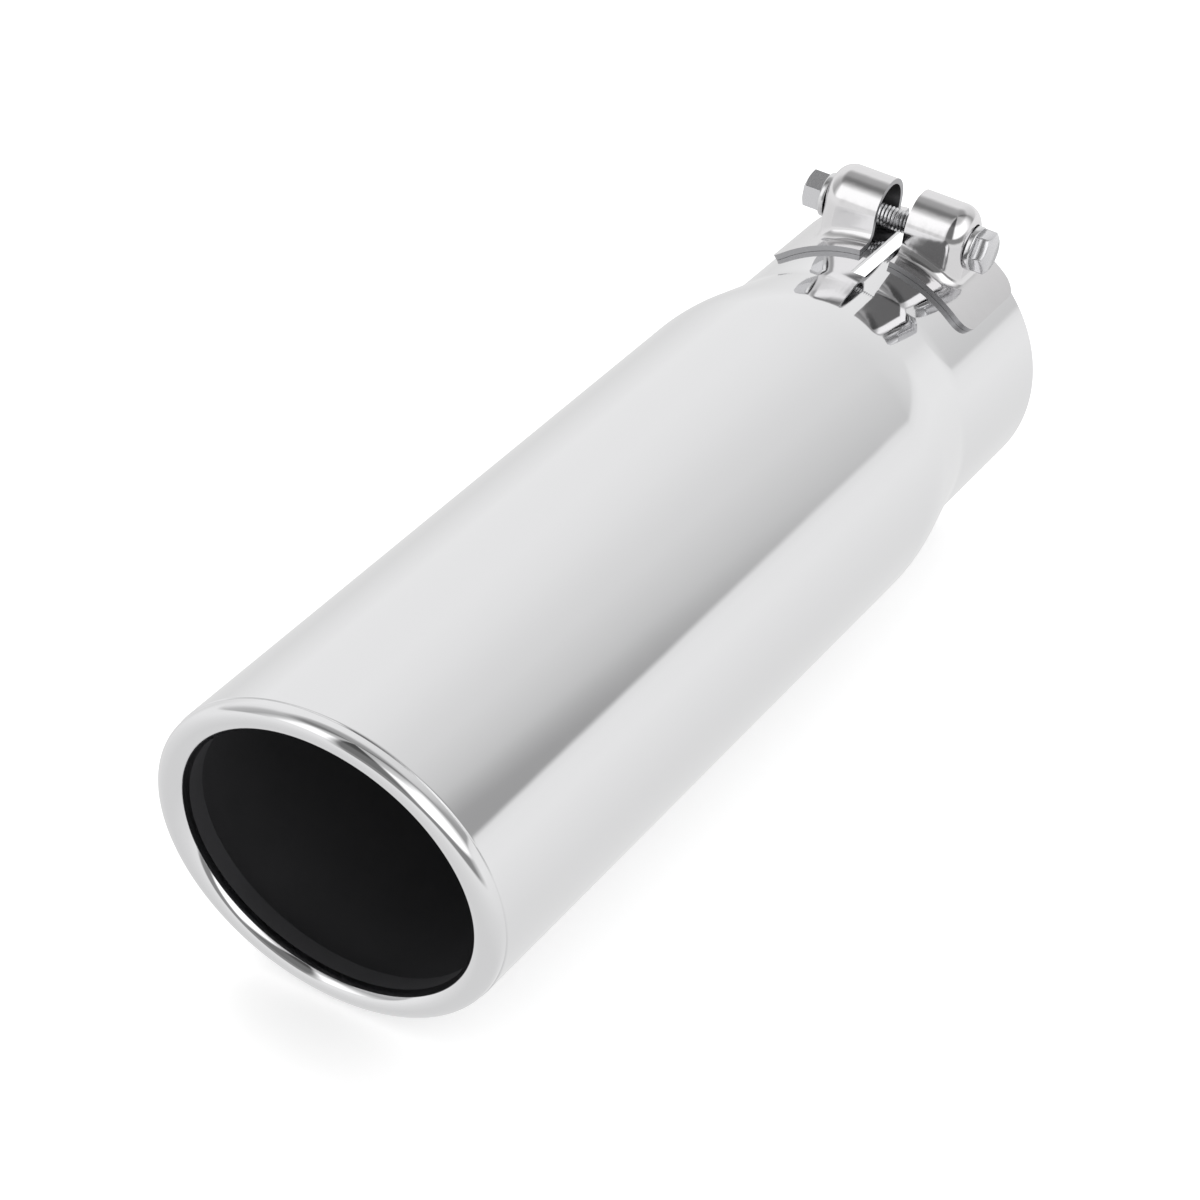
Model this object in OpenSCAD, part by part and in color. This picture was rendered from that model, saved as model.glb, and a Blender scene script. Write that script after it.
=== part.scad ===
// Slant-cut exhaust tip with a rolled lip and a screw clamp at its inlet.
// Frame: the tube runs along Y, its inlet end is at Y = 0 and its mouth is towards -Y.
// +Z goes through the saw slot, the clamp and the long side of the slanted mouth.

/* [Tube] */
// Outer diameter of the body where it leaves the shoulder
body_d = 88.9; // [84:0.1:104]
// Inner diameter of the neck that slides over the tailpipe
inlet_d = 76.4; // [66:0.1:78]
// Thickness of the stainless tube
tube_wall = 1.2; // [0.8:0.1:2]
// Length along the axis from the inlet end to the middle of the mouth
tip_len = 292.2; // [200:0.1:350]
// Length of the straight neck
neck_len = 42; // [34:1:70]
// Slope of the shoulder between neck and body
shoulder_deg = 11; // [10:0.5:16]
// Radius of the round where the shoulder meets the body
shoulder_r = 75; // [30:1:80]
// Radius of the hollow where the shoulder meets the neck
neck_curve_r = 25; // [10:1:35]

/* [Mouth] */
// Inner diameter of the rolled mouth
mouth_d = 74.3; // [66:0.1:79]
// Width of the rolled lip from its outside to the hole
lip_w = 7.1; // [4.5:0.05:12]
// Length of the lip's straight band, from its half round to the crease
lip_band = 1.6; // [0.5:0.1:4]
// Angle of the slanted cut
cut_deg = 13.4; // [0:0.1:30]
// Step of the crease where the rolled lip starts
lip_step = 0.2; // [0.1:0.05:0.4]
// Depth of the skirt that the lip turns back into the tube
lip_return = 6; // [3:0.5:12]

/* [Slot] */
// Width of the saw slot in the neck
slot_w = 4; // [2:0.5:6]
// Uncut neck left between the slot and the shoulder
slot_land = 2.5; // [1:0.5:10]

/* [Clamp ears] */
// Thickness of the ear sheet
ear_sheet = 1.5; // [1:0.1:2]
// Gap between the open faces of the two hoods
ear_gap = 8.4; // [6.5:0.1:12]
// Length of an ear along the tube
ear_len = 30; // [26:0.1:32]
// Angle round the neck from the slot to the far end of an ear
ear_deg = 46; // [42:1:60]
// Outer width of a hood
hood_w = 17.2; // [15:0.2:19]
// Height of a hood's crown above the neck
hood_rise = 15.7; // [14:0.1:18]
// Distance from the slot's middle to the outer face of a hood's end wall
hood_end = 20.6; // [18:0.1:24]
// Radius drawn between a hood's crown, sides and end wall
hood_round = 5; // [3:0.25:6]
// Radius between a hood and its flange
foot_r = 3; // [2:0.25:4]
// Corner radius of the flange
flange_corner_r = 4; // [2:0.5:6]

/* [Clamp screw] */
// Diameter of the screw
screw_d = 6; // [5:0.5:7]
// Height of the screw's axis above the neck
screw_rise = 5.2; // [5:0.1:7]
// Width across the flats of the head and the nut
hex_af = 10; // [8:0.5:11]
// Height of the screw's head
head_h = 4; // [3:0.1:5]
// Height of the nut
nut_h = 5; // [4:0.1:6]
// Length of screw that stands out of the nut
screw_spare = 1.6; // [0.5:0.1:5]
// Outer diameter of a washer
washer_d = 12; // [11:0.5:13]
// Thickness of a washer
washer_t = 1.6; // [1:0.1:2]

/* [Clearances] */
// Space between the neck and an ear, taken up by the spot welds
weld_gap = 0.05; // [0.03:0.01:0.2]
// Space round the screw in its washers
washer_clear = 0.2; // [0.1:0.05:0.4]
// Space between the screw and the thread of the nut
thread_clear = 0.05; // [0.03:0.01:0.2]
// Space beside the screw in the end wall's slot
hole_clear = 0.5; // [0.2:0.1:0.8]
// Travel that the end wall's slot leaves above the screw
hole_travel = 3; // [0:0.25:4]

/* [Hidden] */
$fn = 96;
hex_sides = 6;
over = 1;
sink = 0.05;
lip_lap = 2.5;

body_r = body_d / 2;
neck_r = inlet_d / 2 + tube_wall;
widens = body_r > neck_r;
way = widens ? 1 : -1;
rise = abs(body_r - neck_r);
bend_rise = (shoulder_r + neck_curve_r) * (1 - cos(shoulder_deg));
bend_fit = min(1, rise / bend_rise);
body_bend_r = shoulder_r * bend_fit;
neck_bend_r = neck_curve_r * bend_fit;
shoulder_len = (rise - bend_rise * bend_fit) / tan(shoulder_deg)
             + (body_bend_r + neck_bend_r) * sin(shoulder_deg);
body_bend_c = [body_r - way * body_bend_r, -neck_len - shoulder_len];
neck_bend_c = [neck_r + way * neck_bend_r, -neck_len];
cone_normal = [cos(shoulder_deg), way * sin(shoulder_deg)];

cut_slope = tan(cut_deg);
mouth_r = mouth_d / 2;
roll_r = lip_w / 2;
lip_r = mouth_r + lip_w;
end_r = lip_r + lip_step;
roll_y = -tip_len + roll_r;
crease_y = roll_y + lip_band;
end_y = crease_y + end_r * cut_slope + lip_lap;
far_y = -tip_len - end_r * cut_slope - over;

seat_r = neck_r + weld_gap;
flange_r = seat_r + ear_sheet;
ear_y = -ear_len / 2;
crown_r = hood_w / 2;
crown_z = neck_r + hood_rise - crown_r;
corner_x = hood_end - hood_round;
corner_y = crown_r - hood_round;
foot_deg = asin(corner_x / flange_r);
ball_r = flange_r + foot_r;
side_ball_z = sqrt(ball_r * ball_r - corner_x * corner_x);
end_ball = [hood_end + foot_r, sqrt(ball_r * ball_r - pow(hood_end + foot_r, 2))];
corner_slope = (end_ball.y - side_ball_z) / (end_ball.x - corner_x);
corner_stretch = (end_ball.y - sqrt(flange_r * flange_r - end_ball.x * end_ball.x)) / foot_r;
screw_z = neck_r + screw_rise;
hex_r = hex_af / 2 / cos(180 / hex_sides);
head_x = hood_end + washer_t;
screw_end_x = -head_x - nut_h - screw_spare;

// Turns a shape made about Z so that its axis is Y and its start is at the top
module about_y() rotate([-90, 0, 0]) rotate([0, 0, -90]) children();

// Turns a shape made about Z so that its axis is X, at the screw
module on_screw() translate([0, ear_y, screw_z]) rotate([0, 90, 0]) children();

// Half section of the tube's outside, or of its inside when inset is the wall
module tube_section(inset, reach) {
    full_c = widens ? body_bend_c : neck_bend_c;
    full_r = (widens ? body_bend_r : neck_bend_r) - inset;
    full_end = full_c + full_r * cone_normal;
    hollow_c = widens ? neck_bend_c : body_bend_c;
    hollow_r = (widens ? neck_bend_r : body_bend_r) + inset;
    hollow_end = hollow_c - hollow_r * cone_normal;
    difference() {
        union() {
            polygon([
                [0, far_y - reach],
                [end_r - inset, far_y - reach],
                [end_r - inset, end_y],
                [body_r - inset, body_bend_c.y],
                widens ? full_end : hollow_end,
                widens ? hollow_end : full_end,
                [neck_r - inset, neck_bend_c.y],
                [neck_r - inset, reach],
                [0, reach]
            ]);
            intersection() {
                translate(full_c) circle(r = full_r, $fn = 3 * $fn);
                translate([0, min(full_c.y, full_end.y)])
                    square([full_c.x + full_r, abs(full_end.y - full_c.y)]);
            }
        }
        translate(hollow_c) circle(r = hollow_r, $fn = 3 * $fn);
    }
}

// Section of the rolled lip: the half round, its band that ends inside the body wall, and the skirt
module lip_section() {
    intersection() {
        translate([mouth_r + roll_r, 0]) difference() {
            circle(r = roll_r);
            circle(r = roll_r - tube_wall);
        }
        translate([0, -roll_r]) square([lip_r, roll_r]);
    }
    translate([lip_r - tube_wall, 0]) square([tube_wall, lip_band + lip_lap]);
    translate([mouth_r, 0]) square([tube_wall, lip_return]);
}

module tube_shell() {
    difference() {
        about_y() rotate_extrude() difference() {
            tube_section(0, 0);
            tube_section(tube_wall, over);
        }
        translate([0, crease_y, 0]) rotate([cut_deg, 0, 0])
            translate([-2 * end_r, -2 * end_r, -2 * end_r])
                cube([4 * end_r, 2 * end_r, 4 * end_r]);
    }
}

module rolled_lip() {
    multmatrix([[1, 0, 0, 0], [0, 1, -cut_slope, roll_y], [0, 0, 1, 0]])
        about_y() rotate_extrude() lip_section();
}

module tip_body() color("lightgray") difference() {
    union() {
        tube_shell();
        rolled_lip();
    }
    translate([-slot_w / 2, slot_land - neck_len, neck_r / 2])
        cube([slot_w, neck_len - slot_land + over, neck_r]);
}

// Half plan of a hood, from the slot side to its end wall
module hood_half(inset, start_x) {
    side = crown_r - inset;
    round_r = hood_round - inset;
    translate([0, start_x]) square([side, hood_end - inset - round_r - start_x]);
    translate([0, start_x]) square([side - round_r, hood_end - inset - start_x]);
    translate([side - round_r, hood_end - inset - round_r]) intersection() {
        circle(r = round_r);
        square(round_r);
    }
}

// A hood as a solid: half a turn for the crown over straight sides
module hood_form(inset, start_x) {
    translate([0, ear_y, crown_z]) rotate([0, 90, 0]) rotate([0, 0, 90])
        rotate_extrude(angle = 180) hood_half(inset, start_x);
    translate([0, ear_y, seat_r / 2]) linear_extrude(crown_z - seat_r / 2)
        for (side = [0, 1]) mirror([0, side]) rotate(90) mirror([0, 1]) hood_half(inset, start_x);
}

// Hollow round along the foot of a hood's side
module side_foot() {
    about_y() rotate_extrude(angle = foot_deg)
        translate([flange_r, ear_y + crown_r]) difference() {
            translate([-sink, -sink]) square([foot_r + sink, foot_r + sink]);
            translate([foot_r, foot_r]) circle(r = foot_r + sink);
        }
}

// Hollow round along the foot of a hood's end wall
module end_foot() {
    touch = end_ball * (flange_r - sink) / ball_r;
    translate([0, ear_y + corner_y, 0]) rotate([90, 0, 0]) linear_extrude(2 * corner_y)
        difference() {
            polygon([[hood_end - sink, end_ball.y], end_ball, touch, [hood_end - sink, touch.y]]);
            translate(end_ball) circle(r = foot_r + sink);
        }
}

// Hollow round along the foot of a hood's corner, leant to follow the curved flange
module corner_foot() {
    translate([corner_x, corner_y, side_ball_z])
        multmatrix([[1, 0, 0, 0], [0, 1, 0, 0], [corner_slope, 0, corner_stretch, 0]])
            rotate_extrude(angle = 90) difference() {
                translate([hood_round - sink, -foot_r - sink]) square([foot_r + sink, foot_r + sink]);
                translate([hood_round + foot_r, 0]) circle(r = foot_r + sink);
            }
}

// Sheet over the neck, with its far corners rounded
module flange() {
    difference() {
        about_y() rotate_extrude(angle = ear_deg)
            translate([seat_r - over, -ear_len]) square([ear_sheet + over, ear_len]);
        for (end = [0, 1]) translate([0, ear_y, 0]) mirror([0, end, 0])
            rotate([0, ear_deg, 0])
                translate([sink - flange_corner_r, ear_len / 2 + sink - flange_corner_r, 0])
                    difference() {
                        cube([2 * flange_corner_r, 2 * flange_corner_r, 2 * flange_r]);
                        cylinder(r = flange_corner_r, h = 2 * flange_r);
                    }
    }
}

// Slot for the screw through a hood's end wall
module screw_slot() {
    hole_r = screw_d / 2 + hole_clear;
    on_screw() {
        cylinder(r = hole_r, h = 2 * hood_end);
        translate([-hole_travel, 0, 0]) cylinder(r = hole_r, h = 2 * hood_end);
        translate([-hole_travel, -hole_r, 0]) cube([hole_travel, 2 * hole_r, 2 * hood_end]);
    }
}

module ear() {
    difference() {
        union() {
            flange();
            hood_form(0, ear_gap / 2);
            end_foot();
            for (end = [0, 1]) translate([0, ear_y, 0]) mirror([0, end, 0]) {
                translate([0, -ear_y, 0]) side_foot();
                corner_foot();
            }
        }
        hood_form(ear_sheet, ear_gap / 2 - over);
        translate([0, over, 0]) rotate([90, 0, 0]) cylinder(r = seat_r, h = ear_len + 2 * over);
        translate([-flange_r, -ear_len - over, 0])
            cube([flange_r + ear_gap / 2, ear_len + 2 * over, 2 * flange_r]);
        screw_slot();
    }
}

module head_side_ear() color("gainsboro") ear();

module nut_side_ear() color("gainsboro") mirror([1, 0, 0]) ear();

// Hexagon bar with its corners turned off at the outer end
module hex_form(h) {
    intersection() {
        cylinder(r = hex_r, h = h, $fn = hex_sides);
        union() {
            cylinder(r = hex_r + over, h = h - (hex_r - hex_af / 2));
            translate([0, 0, h - (hex_r - hex_af / 2)])
                cylinder(r1 = hex_r, r2 = hex_af / 2, h = hex_r - hex_af / 2);
        }
    }
}

module clamp_screw() color("silver") on_screw() {
    tip_h = screw_d / 8;
    translate([0, 0, screw_end_x + tip_h])
        cylinder(r = screw_d / 2, h = head_x - screw_end_x - tip_h + sink);
    translate([0, 0, screw_end_x]) cylinder(r1 = screw_d / 2 - tip_h, r2 = screw_d / 2, h = tip_h);
    translate([0, 0, head_x]) hex_form(head_h);
}

module clamp_nut() color("silver") on_screw() difference() {
    translate([0, 0, -head_x]) mirror([0, 0, 1]) hex_form(nut_h);
    translate([0, 0, -head_x - nut_h - over])
        cylinder(r = screw_d / 2 + thread_clear, h = nut_h + 2 * over);
}

module washer() on_screw() translate([0, 0, hood_end]) difference() {
    cylinder(r = washer_d / 2, h = washer_t);
    translate([0, 0, -over]) cylinder(r = screw_d / 2 + washer_clear, h = washer_t + 2 * over);
}

module head_washer() color("silver") washer();

module nut_washer() color("silver") mirror([1, 0, 0]) washer();

tip_body();
head_side_ear();
nut_side_ear();
clamp_screw();
clamp_nut();
head_washer();
nut_washer();
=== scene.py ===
"""A slant-cut exhaust tip in polished stainless steel, with a rolled lip and a screw clamp, on white."""

import math

import bmesh
import bpy
from mathutils import Matrix, Vector


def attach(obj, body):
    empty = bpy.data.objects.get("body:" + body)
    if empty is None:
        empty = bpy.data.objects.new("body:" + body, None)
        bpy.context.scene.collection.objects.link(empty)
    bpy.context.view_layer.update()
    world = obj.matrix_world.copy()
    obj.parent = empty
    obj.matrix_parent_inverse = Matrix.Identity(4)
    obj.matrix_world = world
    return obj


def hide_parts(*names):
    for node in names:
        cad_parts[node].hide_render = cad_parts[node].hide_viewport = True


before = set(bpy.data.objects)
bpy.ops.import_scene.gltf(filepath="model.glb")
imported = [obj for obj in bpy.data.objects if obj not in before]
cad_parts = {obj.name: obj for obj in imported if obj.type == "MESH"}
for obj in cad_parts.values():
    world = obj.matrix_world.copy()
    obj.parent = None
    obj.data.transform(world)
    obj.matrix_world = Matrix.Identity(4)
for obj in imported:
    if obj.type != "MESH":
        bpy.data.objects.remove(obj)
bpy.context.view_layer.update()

# Millimetres, with the part's own sizes. The tube runs along Y with its mouth towards -Y, the clamp on top.
MM = 0.001
WALL = 1.2
BODY_R = 44.45
NECK_R = 38.2 + WALL
TIP_LEN = 292.2
NECK_LEN = 42
SLOT_W = 4
SLOT_LAND = 2.5
TUBE_STEPS = 288

SHOULDER_DEG = 11
SHOULDER_R = 75
NECK_CURVE_R = 25
# Long enough for the hollow and the round to be joined by a straight slope at that angle.
SHOULDER_LEN = 35.606
SHOULDER_Y = -NECK_LEN - SHOULDER_LEN

CUT_SLOPE = math.tan(math.radians(13.4))
MOUTH_R = 37.15
LIP_W = 7.1
LIP_BAND = 1.6
LIP_RETURN = 6
LIP_R = MOUTH_R + LIP_W
ROLL_R = LIP_W / 2
ROLL_Y = ROLL_R - TIP_LEN
CREASE_Y = ROLL_Y + LIP_BAND
BUFFED_DEPTH = 0.8

EAR_SHEET = 1.5
EAR_GAP = 8.4
EAR_LEN = 30
EAR_DEG = 46
EAR_Y = -EAR_LEN / 2
WELD_GAP = 0.05
FLANGE_R = NECK_R + WELD_GAP + EAR_SHEET
FLANGE_CORNER_R = 4
FOOT_R = 3
HOOD_END = 20.6
HOOD_ROUND = 5
HOOD_RISE = 15.7
CROWN_R = 8.6
CROWN_Z = NECK_R + HOOD_RISE - CROWN_R
# Columns of an ear's grid along the open side, round the hood's corner and on half of its end wall.
EAR_COLUMNS = (22, 24, 20)
# Rows of an ear's grid over the flange, the foot's round, the wall and the crown.
EAR_ROWS = (12, 12, 12, 24)

SCREW_R = 3
SCREW_Z = NECK_R + 5.2
THREAD_ROOT_R = 2.39
THREAD_CLEAR = 0.05
THREAD_STEPS = 24
PITCH = 1
HEX_AF = 10
HEX_FACE_R = 4.65
HEAD_H = 4
NUT_H = 5
WASHER_R = 6
WASHER_T = 1.6
WASHER_BORE_R = SCREW_R + 0.2
HOLE_R = SCREW_R + 0.5
HOLE_TRAVEL = 3
HEAD_X = HOOD_END + WASHER_T
SCREW_END_X = HEAD_X + NUT_H + 1.6


def arc(centre, radius, start, end, steps):
    """Points of a circle's arc, from one angle to the other in degrees, both ends with it."""
    turns = (math.radians(start + (end - start) * k / steps) for k in range(steps + 1))
    return [(centre[0] + radius * math.cos(a), centre[1] + radius * math.sin(a)) for a in turns]


def stretch(start, end, steps):
    """Points that divide a straight line, without its ends."""
    return [
        tuple(a + (b - a) * k / steps for a, b in zip(start, end))
        for k in range(1, steps)
    ]


def chain(bm, points):
    """Adds a row of points joined by edges, and gives back what a spin needs."""
    verts = [bm.verts.new(p) for p in points]
    edges = [bm.edges.new(pair) for pair in zip(verts, verts[1:])]
    return verts + edges


def made_object(bm, name, materials, cad_node):
    """Turns a finished mesh in millimetres into a smooth piece in metres that stands for a CAD node."""
    bmesh.ops.scale(bm, vec=Vector((MM, MM, MM)), verts=bm.verts[:])
    mesh = bpy.data.meshes.new(name)
    bm.to_mesh(mesh)
    bm.free()
    mesh.shade_smooth()
    for material in materials:
        mesh.materials.append(material)
    piece = bpy.data.objects.new(name, mesh)
    bpy.context.scene.collection.objects.link(piece)
    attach(piece, "root")
    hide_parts(cad_node)
    return piece


def give_thickness(piece, wall, even, rim):
    """Gives a skin its wall, inwards. Its hidden face gets material 1, and rim picks the cut edge's."""
    sheet = piece.modifiers.new("sheet", "SOLIDIFY")
    sheet.thickness = wall * MM
    sheet.offset = -1
    sheet.use_even_offset = even
    sheet.material_offset = 1
    sheet.material_offset_rim = rim


def soften_edges(piece, width, segments=2, angle=35):
    """Takes the sharpness off cut edges, as tumbling or a light file does."""
    edge = piece.modifiers.new("edges", "BEVEL")
    edge.width = width * MM
    edge.segments = segments
    edge.limit_method = "ANGLE"
    edge.angle_limit = math.radians(angle)
    edge.harden_normals = True


def linear(code):
    """Turns a hex sRGB colour into Blender's linear values."""
    values = [int(code[k : k + 2], 16) / 255 for k in (1, 3, 5)]
    return [v / 12.92 if v <= 0.04045 else ((v + 0.055) / 1.055) ** 2.4 for v in values] + [1]


def node(tree, kind, links=None, stops=(), **settings):
    """Adds a node, sets its properties, input sockets or ramp stops, and links outputs to its inputs."""
    made = tree.nodes.new(kind)
    for name, value in settings.items():
        if hasattr(made, name):
            setattr(made, name, value)
        else:
            made.inputs[name.replace("_", " ")].default_value = value
    if stops:
        elements = made.color_ramp.elements
        while len(elements) < len(stops):
            elements.new(1)
        for element, (place, grey) in zip(elements, stops):
            element.position = place
            element.color = (grey, grey, grey, 1)
    for socket, source in (links or {}).items():
        tree.links.new(source, made.inputs[socket])
    return made


def finish(name):
    """An empty material with its output and shader, ready for the finish's own nodes."""
    material = bpy.data.materials.new(name)
    material.use_nodes = True
    tree = material.node_tree
    tree.nodes.clear()
    out = node(tree, "ShaderNodeOutputMaterial")
    shader = node(tree, "ShaderNodeBsdfPrincipled")
    tree.links.new(shader.outputs["BSDF"], out.inputs["Surface"])
    return material, tree, shader


def mirror_polished_stainless():
    """304 stainless tube, belt-ground and buffed: a mirror with the ground tube's faint waves under it."""
    material, tree, shader = finish("mirror polished stainless tube")
    shader.inputs["Base Color"].default_value = linear("#E3E3E4")
    shader.inputs["Metallic"].default_value = 1
    place = node(tree, "ShaderNodeTexCoord").outputs["Object"]
    # Buffing leaves waves about 25 mm long and a few microns deep, which bend reflections along the tube.
    waves = node(tree, "ShaderNodeTexNoise", {"Vector": place}, Scale=40.0, Detail=1.0)
    # Buffing haze: patches some 8 mm across that are a touch less clear.
    haze = node(tree, "ShaderNodeTexNoise", {"Vector": place}, Scale=120.0, Detail=3.0)
    rough = node(tree, "ShaderNodeMapRange", {"Value": haze.outputs["Fac"]}, To_Min=0.035, To_Max=0.075)
    tree.links.new(rough.outputs["Result"], shader.inputs["Roughness"])
    bump = node(tree, "ShaderNodeBump", {"Height": waves.outputs["Fac"]}, Strength=0.06, Distance=0.0006)
    tree.links.new(bump.outputs["Normal"], shader.inputs["Normal"])
    return material


def unpolished_bore():
    """The mill finish inside the tube, in a dark grey that keeps the mouth dark."""
    material, tree, shader = finish("dark unpolished bore")
    shader.inputs["Metallic"].default_value = 0.35
    place = node(tree, "ShaderNodeTexCoord").outputs["Object"]
    # Blotches of mill scale about 20 mm across.
    blotch = node(tree, "ShaderNodeTexNoise", {"Vector": place}, Scale=50.0, Detail=4.0)
    tone = node(tree, "ShaderNodeMix", {"Factor": blotch.outputs["Fac"]}, data_type="RGBA")
    tone.inputs[6].default_value = linear("#464648")
    tone.inputs[7].default_value = linear("#58585B")
    tree.links.new(tone.outputs[2], shader.inputs["Base Color"])
    shader.inputs["Roughness"].default_value = 0.62
    return material


def pressed_stainless():
    """Stainless sheet pressed in a die and buffed: bright, with shallow marks that bend its reflections."""
    material, tree, shader = finish("pressed and buffed stainless sheet")
    shader.inputs["Base Color"].default_value = linear("#DEDDDE")
    shader.inputs["Metallic"].default_value = 1
    place = node(tree, "ShaderNodeTexCoord").outputs["Object"]
    # Draw marks of the die, about 5 mm apart.
    draws = node(tree, "ShaderNodeTexNoise", {"Vector": place}, Scale=190.0, Detail=2.0)
    # Fine buffing grain, 0.5 mm, coarser than real so that it shows.
    grain = node(tree, "ShaderNodeTexNoise", {"Vector": place}, Scale=1900.0, Detail=2.0)
    rough = node(tree, "ShaderNodeMapRange", {"Value": grain.outputs["Fac"]}, To_Min=0.07, To_Max=0.15)
    tree.links.new(rough.outputs["Result"], shader.inputs["Roughness"])
    bump = node(tree, "ShaderNodeBump", {"Height": draws.outputs["Fac"]}, Strength=0.1, Distance=0.0006)
    tree.links.new(bump.outputs["Normal"], shader.inputs["Normal"])
    return material


def dull_and_shade_darkened_sheet_back():
    """The sheet's unbuffed back and cut edges, inside the hoods and along the rims: soft, and greyer partly
    from the dull finish and partly as painted shade.
    """
    material, tree, shader = finish("dull back of the pressed sheet with painted shade")
    # Darker grey than the buffed face: part dull finish, part painted shade for the dark insides of the
    # hoods.
    shader.inputs["Base Color"].default_value = linear("#B0B0B2")
    shader.inputs["Metallic"].default_value = 1
    place = node(tree, "ShaderNodeTexCoord").outputs["Object"]
    # The rolled sheet's grain, drawn 1 mm coarse so that it shows.
    grain = node(tree, "ShaderNodeTexNoise", {"Vector": place}, Scale=900.0, Detail=3.0)
    rough = node(tree, "ShaderNodeMapRange", {"Value": grain.outputs["Fac"]}, To_Min=0.3, To_Max=0.45)
    tree.links.new(rough.outputs["Result"], shader.inputs["Roughness"])
    return material


def cold_formed_fastener():
    """Cold-formed stainless bolt and nut: satin bright, with the tool's fine marks across the flats."""
    material, tree, shader = finish("cold formed stainless fastener")
    shader.inputs["Base Color"].default_value = linear("#D6D6D8")
    shader.inputs["Metallic"].default_value = 1
    place = node(tree, "ShaderNodeTexCoord").outputs["Object"]
    # Tool marks 0.4 mm apart, across the screw's axis.
    across = node(tree, "ShaderNodeMapping", {"Vector": place}, Scale=(2400.0, 300.0, 300.0))
    marks = node(tree, "ShaderNodeTexNoise", {"Vector": across.outputs["Vector"]}, Scale=1.0, Detail=2.0)
    rough = node(tree, "ShaderNodeMapRange", {"Value": marks.outputs["Fac"]}, To_Min=0.2, To_Max=0.32)
    tree.links.new(rough.outputs["Result"], shader.inputs["Roughness"])
    bump = node(tree, "ShaderNodeBump", {"Height": marks.outputs["Fac"]}, Strength=0.08, Distance=0.0001)
    tree.links.new(bump.outputs["Normal"], shader.inputs["Normal"])
    return material


def stamped_washer_steel():
    """Punched stainless washer, tumbled: brighter than the nut, with tiny dings."""
    material, tree, shader = finish("punched and tumbled washer steel")
    shader.inputs["Base Color"].default_value = linear("#DADADB")
    shader.inputs["Metallic"].default_value = 1
    place = node(tree, "ShaderNodeTexCoord").outputs["Object"]
    # Dings from the tumbling barrel, drawn 0.8 mm wide so that they show.
    dings = node(tree, "ShaderNodeTexNoise", {"Vector": place}, Scale=1300.0, Detail=2.0)
    rough = node(tree, "ShaderNodeMapRange", {"Value": dings.outputs["Fac"]}, To_Min=0.1, To_Max=0.22)
    tree.links.new(rough.outputs["Result"], shader.inputs["Roughness"])
    bump = node(tree, "ShaderNodeBump", {"Height": dings.outputs["Fac"]}, Strength=0.1, Distance=0.0001)
    tree.links.new(bump.outputs["Normal"], shader.inputs["Normal"])
    return material


def tube_profile():
    """The tube's outer skin in (radius, y), from the inlet over the rolled lip to the end of its skirt."""
    neck = [(NECK_R, 0)] + stretch((NECK_R, 0), (NECK_R, -NECK_LEN), 8)
    hollow = arc((NECK_R + NECK_CURVE_R, -NECK_LEN), NECK_CURVE_R, 180, 180 + SHOULDER_DEG, 8)
    shoulder = arc((BODY_R - SHOULDER_R, SHOULDER_Y), SHOULDER_R, SHOULDER_DEG, 0, 16)
    # Two close rings before the crease keep its shading off the long body.
    rings = [(BODY_R, CREASE_Y + 1.4), (BODY_R, CREASE_Y + 0.7)]
    body = stretch((BODY_R, SHOULDER_Y), rings[0], 12) + rings
    crease = [
        (BODY_R, CREASE_Y + 0.3),
        (BODY_R - 0.04, CREASE_Y + 0.12),
        (LIP_R - 0.02, CREASE_Y),
        (LIP_R, CREASE_Y - 0.25),
    ]
    roll = arc((MOUTH_R + ROLL_R, ROLL_Y), ROLL_R, 0, -180, 28)
    skirt = [(MOUTH_R, ROLL_Y + BUFFED_DEPTH), (MOUTH_R, ROLL_Y + LIP_RETURN)]
    return neck + hollow + shoulder + body + crease + roll + skirt


def slant(bm):
    """Slides the tube's rings along its axis, more towards the mouth, so that the lip follows the cut."""
    for vert in bm.verts:
        share = min(1, max(0, (vert.co.y - SHOULDER_Y) / (ROLL_Y - SHOULDER_Y)))
        vert.co.y -= vert.co.z * CUT_SLOPE * share


def saw_slot(bm):
    """Cuts the slot that lets the clamp squeeze the neck, splitting only the faces round it."""
    round_slot_z = 30
    round_slot_y = -60
    for at, normal in (
        ((-SLOT_W / 2, 0, 0), (1, 0, 0)),
        ((SLOT_W / 2, 0, 0), (1, 0, 0)),
        ((0, SLOT_LAND - NECK_LEN, 0), (0, 1, 0)),
    ):
        near = [
            f
            for f in bm.faces
            if f.calc_center_median().z > round_slot_z
            and f.calc_center_median().y > round_slot_y
        ]
        edges = {e for f in near for e in f.edges}
        verts = {v for f in near for v in f.verts}
        bmesh.ops.bisect_plane(bm, geom=near + list(edges) + list(verts), plane_co=at, plane_no=normal)
    cut = [
        f
        for f in bm.faces
        if abs(f.calc_center_median().x) < SLOT_W / 2
        and f.calc_center_median().y > SLOT_LAND - NECK_LEN
        and f.calc_center_median().z > 0
    ]
    bmesh.ops.delete(bm, geom=cut, context="FACES")


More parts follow.
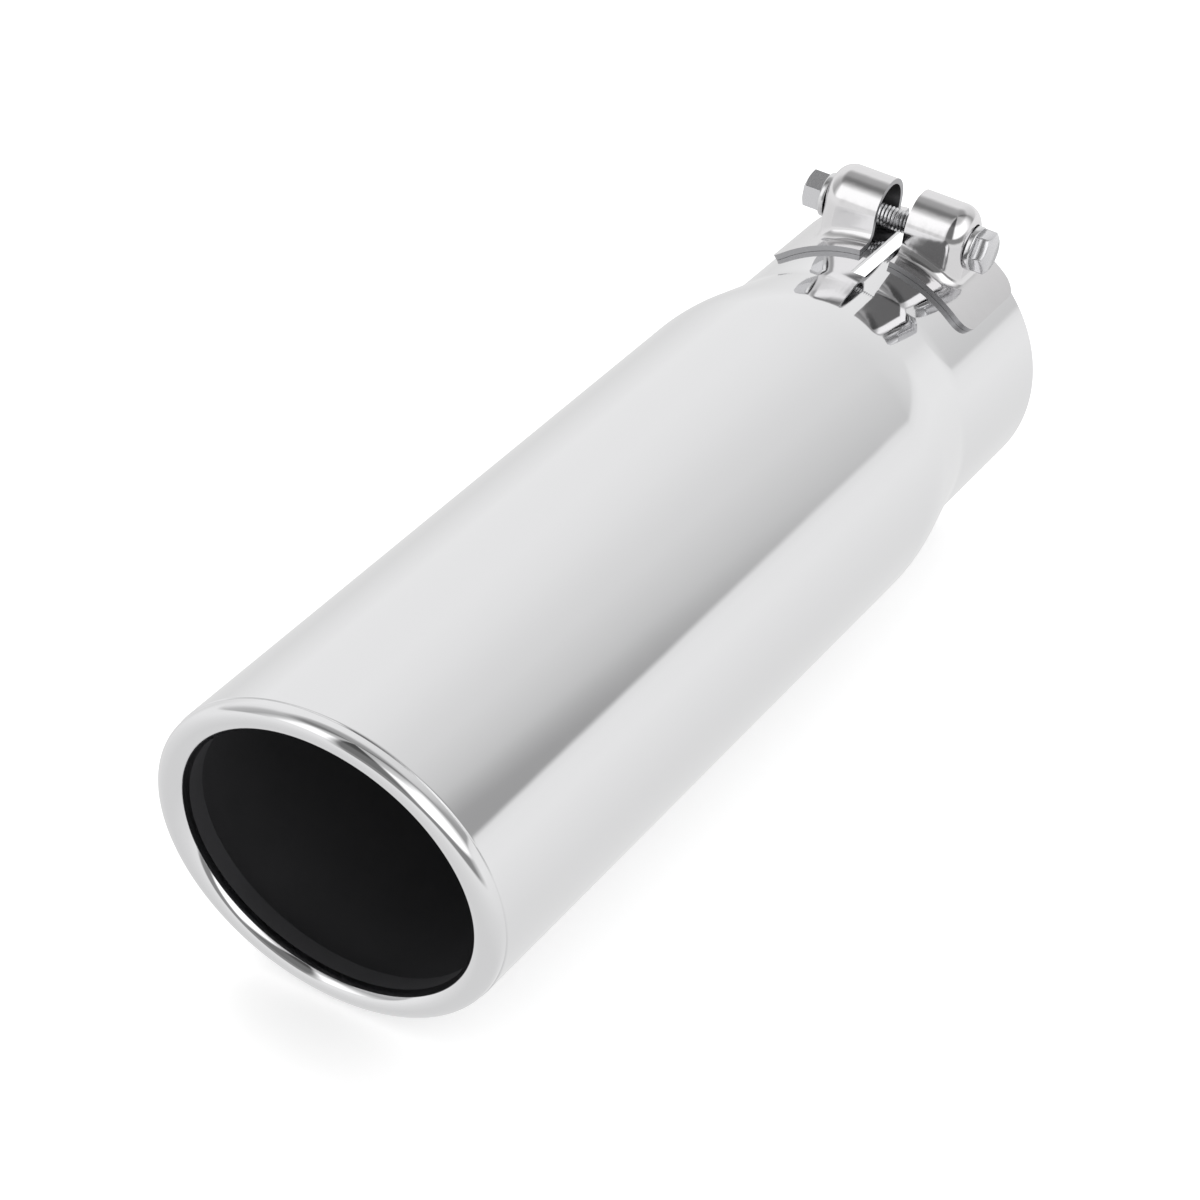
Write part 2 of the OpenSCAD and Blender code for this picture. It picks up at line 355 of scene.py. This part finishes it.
def tube(polish, bore):
    """The tube: its skin is spun about Y, slanted and slotted, and then gets its wall."""
    bm = bmesh.new()
    skin = chain(bm, [(0, y, r) for r, y in tube_profile()])
    bmesh.ops.spin(
        bm,
        geom=skin,
        cent=(0, 0, 0),
        axis=(0, 1, 0),
        dvec=(0, 0, 0),
        angle=math.tau,
        steps=TUBE_STEPS,
        use_merge=True,
    )
    bmesh.ops.remove_doubles(bm, verts=bm.verts[:], dist=0.001)
    bmesh.ops.recalc_face_normals(bm, faces=bm.faces[:])
    outermost = max(bm.faces, key=lambda f: f.calc_center_median().z)
    if outermost.normal.z < 0:
        bmesh.ops.reverse_faces(bm, faces=bm.faces[:])
    # The buffing wheel only just enters the mouth: the rest of the lip's skirt is as dull as the bore.
    for face in bm.faces:
        middle = face.calc_center_median()
        if math.hypot(middle.x, middle.z) < MOUTH_R + 0.01 and middle.y > ROLL_Y + BUFFED_DEPTH:
            face.material_index = 1
    slant(bm)
    saw_slot(bm)
    piece = made_object(bm, "slant_cut_tube", (polish, bore), "tip_body")
    give_thickness(piece, WALL, True, 0)
    soften_edges(piece, 0.12)
    return piece


def hood_plan(u):
    """Point (x, half width) on a hood's outline and the way out there, from open face (0) to end (3)."""
    corner_x = HOOD_END - HOOD_ROUND
    corner_w = CROWN_R - HOOD_ROUND
    edge_lean = 0.15
    # The open face starts further out by as much as the flange's inner edge leans back.
    open_x = EAR_GAP / 2 + edge_lean
    if u <= 1:
        return (open_x + (corner_x - open_x) * u, CROWN_R), (0, 1)
    if u <= 2:
        turn = (u - 1) * math.pi / 2
        out = (math.sin(turn), math.cos(turn))
        return (corner_x + HOOD_ROUND * out[0], corner_w + HOOD_ROUND * out[1]), out
    return (HOOD_END, corner_w * (3 - u)), (1, 0)


def flange_reach(x, w, out):
    """How far the flange goes on from a plan point in that direction, up to its rounded outline."""
    far_x = FLANGE_R * math.sin(math.radians(EAR_DEG))
    half = EAR_LEN / 2
    low, high = 0, EAR_LEN
    # Each turn halves the range in which the outline lies.
    for _ in range(40):
        mid = (low + high) / 2
        px = x + out[0] * mid
        pw = w + out[1] * mid
        dx = max(0, px - (far_x - FLANGE_CORNER_R))
        dw = max(0, pw - (half - FLANGE_CORNER_R))
        inside = px <= far_x and pw <= half and math.hypot(dx, dw) <= FLANGE_CORNER_R
        low, high = (mid, high) if inside else (low, mid)
    return low


def ear_point(u, v):
    """The ear's skin, where v runs over the flange (to 1), foot (to 2), wall (to 3) and crown (to 4)."""
    (x, w), out = hood_plan(u)
    ball_x = x + out[0] * FOOT_R
    ball_w = w + out[1] * FOOT_R
    ball_z = math.sqrt((FLANGE_R + FOOT_R) ** 2 - ball_x**2)
    touch = FLANGE_R / (FLANGE_R + FOOT_R)
    if v <= 1:
        reach = flange_reach(x, w, out)
        near_x = ball_x * touch
        far_x = x + out[0] * reach
        px = far_x + (near_x - far_x) * v
        pw = (w + out[1] * reach) + (ball_w - w - out[1] * reach) * v
        px = x + (px - x) * min(1, u)
        return px, pw, math.sqrt(FLANGE_R**2 - px**2)
    if v <= 2:
        down = Vector((ball_x * (touch - 1), 0, ball_z * (touch - 1)))
        inward = Vector((-out[0], -out[1], 0)) * FOOT_R
        turn = down.angle(inward)
        share = v - 1
        arm = (down * math.sin((1 - share) * turn) + inward * math.sin(share * turn)) / math.sin(turn)
        px = ball_x + arm.x
        depth = math.hypot(px, ball_z + arm.z)
        px = x + (px - x) * min(1, u)
        return px, ball_w + arm.y, math.sqrt(depth**2 - px**2)
    if v <= 3:
        return x, w, ball_z + (CROWN_Z - ball_z) * (v - 2)
    turn = (v - 3) * math.pi / 2
    return x, w * math.cos(turn), CROWN_Z + w * math.sin(turn)


def screw_slot_distance(y, z):
    """How far a point of the end wall is outside the upright slot for the screw, and the way out of it."""
    near_z = min(max(z, SCREW_Z), SCREW_Z + HOLE_TRAVEL)
    way = Vector((0, y - EAR_Y, z - near_z))
    return way.length - HOLE_R, way


def passed(place, counts):
    """How many stretches of a grid lie before a place from -1 to 1, and what share of the next one."""
    step = round((place + 1) / 2 * sum(counts))
    for before, count in enumerate(counts):
        if step <= count:
            return before + step / count
        step -= count


def ear(name, side, buffed, back, cad_node):
    """One pressed ear: flange, rolled foot and hood, with the screw's slot in its end wall."""
    bm = bmesh.new()
    bmesh.ops.create_grid(bm, x_segments=sum(EAR_COLUMNS), y_segments=sum(EAR_ROWS), size=1)
    for vert in bm.verts:
        vert.co = ear_point(passed(vert.co.x, EAR_COLUMNS), passed(vert.co.y, EAR_ROWS))
    half = bm.verts[:] + bm.edges[:] + bm.faces[:]
    bmesh.ops.mirror(bm, geom=half, merge_dist=0.001, axis="Y")
    bmesh.ops.remove_doubles(bm, verts=bm.verts[:], dist=0.005)
    bmesh.ops.dissolve_degenerate(bm, edges=bm.edges[:], dist=0.001)
    bmesh.ops.translate(bm, vec=Vector((0, EAR_Y, 0)), verts=bm.verts[:])
    end_wall_x = HOOD_END - 0.6
    in_slot = [
        f
        for f in bm.faces
        if f.calc_center_median().x > end_wall_x
        and screw_slot_distance(f.calc_center_median().y, f.calc_center_median().z)[0] < 0
    ]
    bmesh.ops.delete(bm, geom=in_slot, context="FACES")
    for vert in bm.verts:
        gap, way = screw_slot_distance(vert.co.y, vert.co.z)
        if vert.is_boundary and vert.co.x > end_wall_x and gap < 1.5 and vert.co.z > FLANGE_R:
            vert.co -= way.normalized() * gap
    if side < 0:
        bmesh.ops.scale(bm, vec=Vector((-1, 1, 1)), verts=bm.verts[:])
    bmesh.ops.recalc_face_normals(bm, faces=bm.faces[:])
    crown = max(bm.faces, key=lambda f: f.calc_center_median().z)
    if crown.normal.z < 0:
        bmesh.ops.reverse_faces(bm, faces=bm.faces[:])
    piece = made_object(bm, name, (buffed, back), cad_node)
    give_thickness(piece, EAR_SHEET, False, 1)
    soften_edges(piece, 0.45, 4, 60)
    return piece


def on_screw(bm, side):
    """Puts a turned shape, made about X from the head side, on the screw's axis at its own side."""
    if side < 0:
        bmesh.ops.scale(bm, vec=Vector((-1, 1, 1)), verts=bm.verts[:])
    bmesh.ops.translate(bm, vec=Vector((0, EAR_Y, SCREW_Z)), verts=bm.verts[:])
    bmesh.ops.recalc_face_normals(bm, faces=bm.faces[:])


def added(bm, known):
    """The vertices made since the set of known ones was taken."""
    return [v for v in bm.verts if v not in known]


def turned(bm, points, steps=96):
    """Spins a profile of (x, radius) points once about X, with its poles and seam merged."""
    known = set(bm.verts)
    skin = chain(bm, [(x, 0, r) for x, r in points])
    bmesh.ops.spin(
        bm,
        geom=skin,
        cent=(0, 0, 0),
        axis=(1, 0, 0),
        dvec=(0, 0, 0),
        angle=math.tau,
        steps=steps,
        use_merge=True,
    )
    bmesh.ops.remove_doubles(bm, verts=added(bm, known), dist=0.0005)
    return added(bm, known)


def hexagon_radius(vert, turned_by):
    """Distance from the screw's axis to a hexagon's flats. Unturned, the hexagon has a corner on top."""
    turn = (math.atan2(vert.co.y, vert.co.z) + math.radians(turned_by)) % (math.pi / 3)
    return HEX_AF / 2 / math.cos(turn - math.pi / 6)


def hexagon(bm, base, height, bore, turned_by):
    """A hexagon bar from base outwards, its far corners turned off at 30 degrees from the face's circle."""
    top = base + height
    sink = 0.4
    # The turned-off corners' rows start spread over this much radius, and are then drawn in.
    spread = 2
    cone_end = (top - 1, HEX_FACE_R + spread)
    cone = stretch((top, HEX_FACE_R), cone_end, 6) + [cone_end]
    sides = [(base + height * 0.4, HEX_FACE_R + spread + 1), (base, HEX_FACE_R + spread + 1)]
    inside = [(base, bore), (top - sink, bore), (top, bore + sink)] if bore else [(base, 0)]
    first = [(top, bore + sink)] if bore else [(top, 0)]
    for vert in turned(bm, first + [(top, HEX_FACE_R)] + cone + sides + inside):
        radius = math.hypot(vert.co.y, vert.co.z)
        if radius <= HEX_FACE_R + 0.001:
            continue
        share = min(1, (radius - HEX_FACE_R) / spread)
        pushed = HEX_FACE_R + (hexagon_radius(vert, turned_by) - HEX_FACE_R) * share
        if vert.co.x > base + height / 2:
            vert.co.x = top - (pushed - HEX_FACE_R) * math.tan(math.radians(30))
        vert.co.y *= pushed / radius
        vert.co.z *= pushed / radius


def clamp_screw(steel):
    """Hexagon head screw with its thread cut from end to end, and a domed end outside the nut."""
    bm = bmesh.new()
    hexagon(bm, HEAD_X, HEAD_H, 0, 30)
    # The thread starts a turn before the screw's end and runs on into the head, and both ends are trimmed.
    turns = round((HEAD_X + SCREW_END_X) / PITCH) + 2
    start = -SCREW_END_X - PITCH
    tooth = [
        (start, THREAD_ROOT_R),
        (start + PITCH * 0.13, THREAD_ROOT_R),
        (start + PITCH * 0.44, SCREW_R),
        (start + PITCH * 0.56, SCREW_R),
        (start + PITCH * 0.87, THREAD_ROOT_R),
        (start + PITCH, THREAD_ROOT_R),
    ]
    known = set(bm.verts)
    bmesh.ops.spin(
        bm,
        geom=chain(bm, [(x, 0, r) for x, r in tooth]),
        cent=(0, 0, 0),
        axis=(1, 0, 0),
        dvec=(PITCH / THREAD_STEPS, 0, 0),
        angle=math.tau * turns,
        steps=THREAD_STEPS * turns,
    )
    bmesh.ops.remove_doubles(bm, verts=added(bm, known), dist=0.01)
    for trim_x, inner in ((1.1 - SCREW_END_X, True), (HEAD_X + 0.5, False)):
        verts = added(bm, known)
        edges = {e for v in verts for e in v.link_edges}
        faces = {f for v in verts for f in v.link_faces}
        cut = bmesh.ops.bisect_plane(
            bm,
            geom=verts + list(edges | faces),
            plane_co=(trim_x, 0, 0),
            plane_no=(1, 0, 0),
            clear_inner=inner,
            clear_outer=not inner,
        )
        rim = [e for e in cut["geom_cut"] if isinstance(e, bmesh.types.BMEdge)]
        bmesh.ops.edgeloop_fill(bm, edges=rim)
    dome_r = 3.6
    dome_foot = 2 - SCREW_END_X
    dome = arc((dome_r - SCREW_END_X, 0), dome_r, 180, 130, 8)
    turned(bm, dome + [(dome_foot, 2.2), (dome_foot, 0)], 48)
    on_screw(bm, 1)
    return made_object(bm, "clamp_screw_and_head", (steel,), "clamp_screw")


def clamp_nut(steel):
    """Hexagon nut with a plain bore, because its own thread never shows."""
    bm = bmesh.new()
    hexagon(bm, HEAD_X, NUT_H, SCREW_R + THREAD_CLEAR, 0)
    on_screw(bm, -1)
    piece = made_object(bm, "hexagon_nut", (steel,), "clamp_nut")
    soften_edges(piece, 0.12)
    return piece


def washer(name, side, steel, cad_node):
    """A punched washer: its rim is rolled over on one side by the punch."""
    bm = bmesh.new()
    rolled_r = 0.45
    burr_r = 0.2
    sink = 0.15
    rim = arc((HEAD_X - rolled_r, WASHER_R - rolled_r), rolled_r, 0, 90, 6)
    foot = arc((HOOD_END + burr_r, WASHER_R - burr_r), burr_r, 90, 180, 4)
    hole = [(HOOD_END, WASHER_BORE_R), (HEAD_X - sink, WASHER_BORE_R), (HEAD_X, WASHER_BORE_R + sink)]
    turned(bm, rim + foot + hole + rim[:1])
    bmesh.ops.remove_doubles(bm, verts=bm.verts[:], dist=0.001)
    on_screw(bm, side)
    piece = made_object(bm, name, (steel,), cad_node)
    soften_edges(piece, 0.05)
    return piece


def white_floor():
    """White paper under the part, at the level the tube lies on."""
    bm = bmesh.new()
    bmesh.ops.create_grid(bm, x_segments=1, y_segments=1, size=3)
    bmesh.ops.translate(bm, vec=Vector((0, 0, -BODY_R * MM)), verts=bm.verts[:])
    mesh = bpy.data.meshes.new("white_floor")
    bm.to_mesh(mesh)
    bm.free()
    floor = bpy.data.objects.new("white_floor", mesh)
    bpy.context.scene.collection.objects.link(floor)
    material = bpy.data.materials.new("white studio paper")
    material.use_nodes = True
    tree = material.node_tree
    tree.nodes.clear()
    out = node(tree, "ShaderNodeOutputMaterial")
    paper = node(tree, "ShaderNodeBsdfDiffuse", Color=linear("#EEEEEE"))
    # Lifts the paper to white for the camera, so that only the part's own shadow shows.
    lift = node(tree, "ShaderNodeEmission", Strength=0.42)
    ray = node(tree, "ShaderNodeLightPath")
    seen = node(tree, "ShaderNodeMixShader", {0: ray.outputs["Is Camera Ray"], 2: lift.outputs["Emission"]})
    both = node(tree, "ShaderNodeAddShader", {0: paper.outputs["BSDF"], 1: seen.outputs["Shader"]})
    tree.links.new(both.outputs["Shader"], out.inputs["Surface"])
    mesh.materials.append(material)
    floor.visible_glossy = False


def round_part(*stops):
    """Ramp stops by the angle round the part, in degrees from +Y towards +X."""
    return [((degrees + 180) / 360, grey) for degrees, grey in stops]


def above_floor(*stops):
    """Ramp stops by the height above the floor, in degrees."""
    return [((degrees + 90) / 180, grey) for degrees, grey in stops]


def studio_world():
    """A white light tent. The polished tube reflects its dark gap, bright softbox and greyer top."""
    world = bpy.data.worlds.new("light tent")
    bpy.context.scene.world = world
    world.use_nodes = True
    tree = world.node_tree
    tree.nodes.clear()
    ramp = "ShaderNodeValToRGB"
    mix = "ShaderNodeMix"
    maths = "ShaderNodeMath"
    scaled = "ShaderNodeMapRange"

    way = node(tree, "ShaderNodeTexCoord").outputs["Generated"]
    parts = node(tree, "ShaderNodeSeparateXYZ", {"Vector": way}).outputs
    # Both angles go from 0 to 1: round the part, and from straight down to straight up.
    turn = node(tree, maths, {0: parts["X"], 1: parts["Y"]}, operation="ARCTAN2").outputs[0]
    turn = node(tree, scaled, {"Value": turn}, From_Min=-math.pi, From_Max=math.pi).outputs[0]
    rise = node(tree, maths, {0: parts["Z"]}, operation="ARCSINE").outputs[0]
    rise = node(tree, scaled, {"Value": rise}, From_Min=-math.pi / 2, From_Max=math.pi / 2).outputs[0]

    # Above the tube's back the tent darkens to the right. Its sharp lower edge draws the body's dark line.
    upper_stops = round_part(
        (-25, 1), (-7, 0.95), (12, 0.87), (21, 0.84), (27, 0.79), (32, 0.74), (35.5, 0.68), (38.5, 0.54),
        (41, 0.42), (47, 0.42), (62, 1),
    )
    upper = node(tree, ramp, {"Fac": turn}, upper_stops).outputs[0]
    # Below that edge lies the paper, brightest just under it on the right and duller on the left.
    right_stops = above_floor((-60, 0.8), (-33, 0.87), (-20, 0.93), (-5, 1), (4, 0.99), (9, 0.92))
    right = node(tree, ramp, {"Fac": rise}, right_stops).outputs[0]
    left_stops = above_floor((-60, 0.8), (-28, 0.8), (-12, 0.82), (0, 0.92), (9, 0.99))
    left = node(tree, ramp, {"Fac": rise}, left_stops).outputs[0]
    leftness = node(tree, ramp, {"Fac": turn}, round_part((-75, 0), (-50, 1), (-28, 1), (5, 0))).outputs[0]
    lower = node(tree, mix, {0: leftness, 2: right, 3: left}).outputs[0]
    above_edge = node(tree, ramp, {"Fac": rise}, above_floor((8, 0), (10, 1))).outputs[0]
    back = node(tree, mix, {0: above_edge, 2: lower, 3: upper}).outputs[0]
    # The roof of the tent is greyer.
    roof = node(tree, ramp, {"Fac": rise}, above_floor((45, 1), (58, 0.5), (75, 0.4))).outputs[0]

    # On the camera's side: a dark opening for the camera, and a softbox to its right that lights the lip.
    front_stops = round_part(
        (-168, 0.2), (-161, 1.4), (-142, 1.3), (-134, 0.8), (-120, 0.5), (-96, 0.6), (-70, 0.95), (-50, 1),
        (62, 1), (80, 1.5), (146, 1.5), (157, 0.2),
    )
    front = node(tree, ramp, {"Fac": turn}, front_stops).outputs[0]
    # The table's dark edge shows between the softbox and the paper.
    table_stops = round_part((-168, 0.3), (-161, 1), (62, 1), (95, 0.3))
    table = node(tree, ramp, {"Fac": turn}, table_stops).outputs[0]
    above_table = node(tree, ramp, {"Fac": rise}, above_floor((4, 0), (9, 1))).outputs[0]
    above_paper = node(tree, ramp, {"Fac": rise}, above_floor((-14, 0), (-9, 1))).outputs[0]
    beyond_paper = node(tree, mix, {0: above_table, 2: table, 3: front}).outputs[0]
    facing = node(tree, mix, {0: above_paper, 3: beyond_paper})
    facing.inputs[2].default_value = 1

    roofed = node(tree, maths, {0: back, 1: roof}, operation="MULTIPLY").outputs[0]
    light = node(tree, maths, {0: roofed, 1: facing.outputs[0]}, operation="MULTIPLY").outputs[0]
    tent = node(tree, "ShaderNodeBackground", {"Strength": light}, Color=linear("#FFFFFF"))
    # Only reflections see the tent. The camera sees white, and the paper is lit evenly.
    white = node(tree, "ShaderNodeBackground", Color=linear("#FFFFFF"), Strength=1.0)
    reflected = node(tree, "ShaderNodeLightPath").outputs["Is Glossy Ray"]
    seen = node(tree, "ShaderNodeMixShader", {0: reflected, 1: white.outputs[0], 2: tent.outputs[0]})
    out = node(tree, "ShaderNodeOutputWorld")
    tree.links.new(seen.outputs[0], out.inputs["Surface"])


def key_light():
    """A big soft lamp high on the left, which the part's shadow on the right comes from."""
    lamp = bpy.data.lights.new("key", "AREA")
    lamp.shape = "SQUARE"
    lamp.size = 0.7
    lamp.energy = 4
    key = bpy.data.objects.new("key", lamp)
    key.location = (-0.7, 0.1, 1.1)
    key.rotation_euler = (Vector((0, -0.13, 0)) - key.location).to_track_quat("-Z", "Y").to_euler()
    key.visible_glossy = False
    bpy.context.scene.collection.objects.link(key)


def camera():
    """The photograph's viewpoint, fitted to the outline of the tube and the clamp."""
    lens = bpy.data.cameras.new("camera")
    lens.lens = 125.83
    lens.sensor_width = 36
    eye = bpy.data.objects.new("camera", lens)
    bearing = math.radians(-24.672)
    drop = math.radians(33.63)
    look = Vector((math.sin(bearing) * math.cos(drop), math.cos(bearing) * math.cos(drop), -math.sin(drop)))
    upright = look.to_track_quat("-Z", "Y").to_matrix().to_4x4()
    tilt = Matrix.Rotation(math.radians(8.305), 4, "Z")
    eye.matrix_world = Matrix.Translation((0.34916, -0.92831, 0.56194)) @ upright @ tilt
    bpy.context.scene.collection.objects.link(eye)
    bpy.context.scene.camera = eye


tube(mirror_polished_stainless(), unpolished_bore())
sheet = pressed_stainless()
sheet_back = dull_and_shade_darkened_sheet_back()
ear("head_side_hood", 1, sheet, sheet_back, "head_side_ear")
ear("nut_side_hood", -1, sheet, sheet_back, "nut_side_ear")
fastener = cold_formed_fastener()
clamp_screw(fastener)
clamp_nut(fastener)
washer_steel = stamped_washer_steel()
washer("head_side_washer", 1, washer_steel, "head_washer")
washer("nut_side_washer", -1, washer_steel, "nut_washer")

white_floor()
studio_world()
key_light()
camera()
bpy.context.scene.view_settings.view_transform = "Standard"
